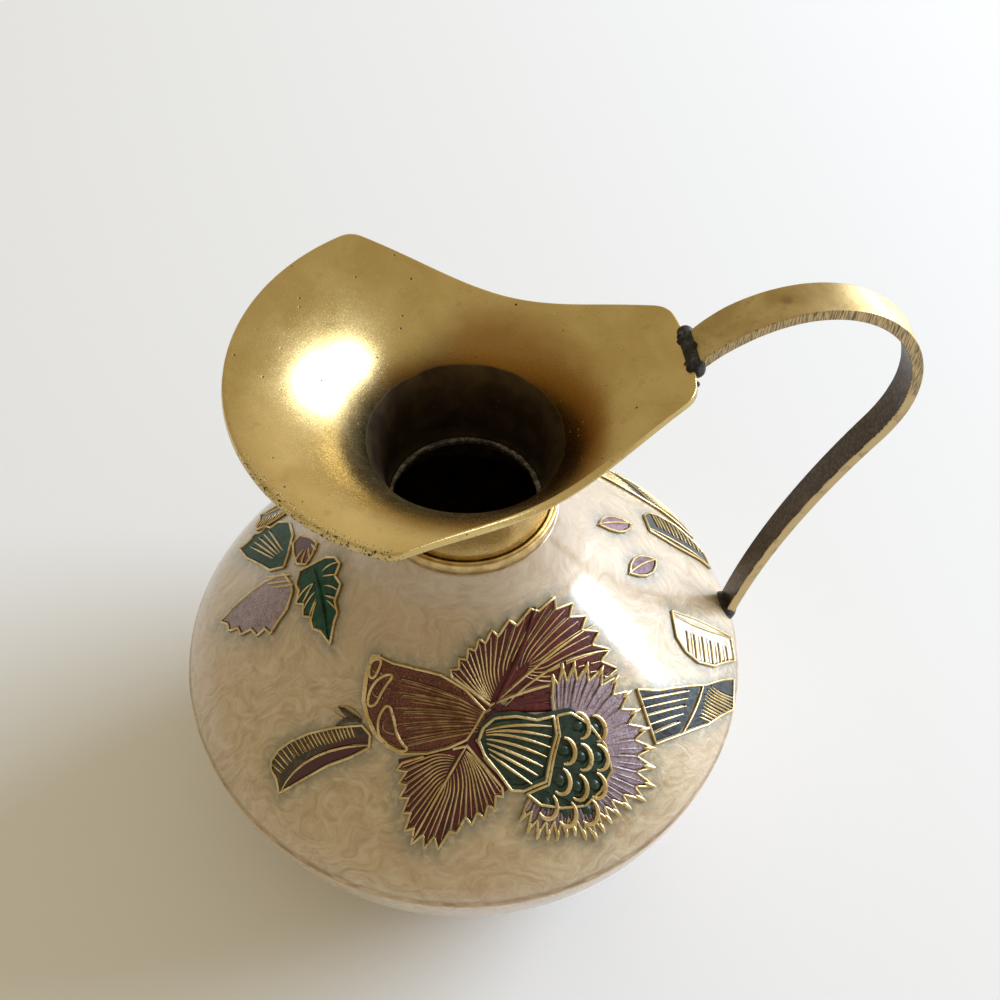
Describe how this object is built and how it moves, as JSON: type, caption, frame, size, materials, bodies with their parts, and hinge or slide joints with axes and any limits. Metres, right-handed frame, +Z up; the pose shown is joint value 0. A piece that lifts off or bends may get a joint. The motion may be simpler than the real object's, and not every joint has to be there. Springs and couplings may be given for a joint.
{
  "type": "pitcher",
  "caption": "Round-bodied enamelled brass pitcher with a wide trimmed trumpet lip, a bent strap handle and raised flower ornament.",
  "frame": {"origin": "centre of the foot ring's face on the table", "axes": "+Z up along the body's axis, +X towards the handle, -X towards the spout"},
  "size_m": [0.149, 0.124, 0.1428],
  "materials": {
    "body_brass": "aged brass, dark and unpolished inside the body",
    "polished_brass": "polished brass with fine scratches and small dark pits",
    "strap_brass": "satin brass with file marks on the sides",
    "line_brass": "bright raised brass lines",
    "seam_solder": "brazed joint, dressed flush",
    "pale_solder": "pale ragged solder",
    "black_solder": "blackened lumpy solder",
    "pearl_enamel": "glossy cream enamel with pearly swirls",
    "maroon_enamel": "glossy translucent maroon enamel",
    "copper_enamel": "glossy terracotta enamel with copper glitter",
    "bottle_green_enamel": "glossy bottle green enamel",
    "leaf_green_enamel": "glossy leaf green enamel",
    "lilac_enamel": "glossy lilac enamel",
    "olive_enamel": "glossy olive brown enamel",
    "slate_enamel": "glossy slate blue enamel",
    "silver_enamel": "glossy pale enamel"
  },
  "bodies": {
    "root": {"foot_ring": "body_brass", "lower_bowl": "body_brass", "upper_shell": "body_brass", "seam_solder": "seam_solder", "neck_collar": "body_brass", "trumpet_lip": "polished_brass", "neck_solder": "pale_solder", "handle_strap": "strap_brass", "handle_top_solder": "black_solder", "handle_foot_solder": "black_solder", "enamel_bowl": "pearl_enamel", "enamel_shoulder": "pearl_enamel", "front_upper_leaf_lines": "line_brass", "front_upper_leaf_enamel": "maroon_enamel", "front_lower_leaf_lines": "line_brass", "front_lower_leaf_enamel": "maroon_enamel", "front_petal_lines": "line_brass", "front_petal_enamel": "copper_enamel", "front_thistle_lines": "line_brass", "front_thistle_cup_enamel": "bottle_green_enamel", "front_thistle_scale_enamel": "bottle_green_enamel", "front_fan_lines": "line_brass", "front_fan_enamel": "lilac_enamel", "front_side_leaf_lines": "line_brass", "front_ribbed_leaf_enamel": "olive_enamel", "front_striped_leaf_enamel": "slate_enamel", "front_curled_leaf_enamel": "silver_enamel", "back_upper_leaf_lines": "line_brass", "back_upper_leaf_enamel": "maroon_enamel", "back_lower_leaf_lines": "line_brass", "back_lower_leaf_enamel": "maroon_enamel", "back_petal_lines": "line_brass", "back_petal_enamel": "copper_enamel", "back_thistle_lines": "line_brass", "back_thistle_cup_enamel": "bottle_green_enamel", "back_thistle_scale_enamel": "bottle_green_enamel", "back_fan_lines": "line_brass", "back_fan_enamel": "lilac_enamel", "back_side_leaf_lines": "line_brass", "back_ribbed_leaf_enamel": "olive_enamel", "back_striped_leaf_enamel": "slate_enamel", "back_curled_leaf_enamel": "silver_enamel", "sprig_lines": "line_brass", "sprig_fan_enamel": "leaf_green_enamel", "sprig_long_enamel": "leaf_green_enamel", "sprig_lilac_enamel": "lilac_enamel", "sprig_flower_enamel": "maroon_enamel", "bud_lines": "line_brass", "bud_enamel": "lilac_enamel"}
  },
  "joints": []
}
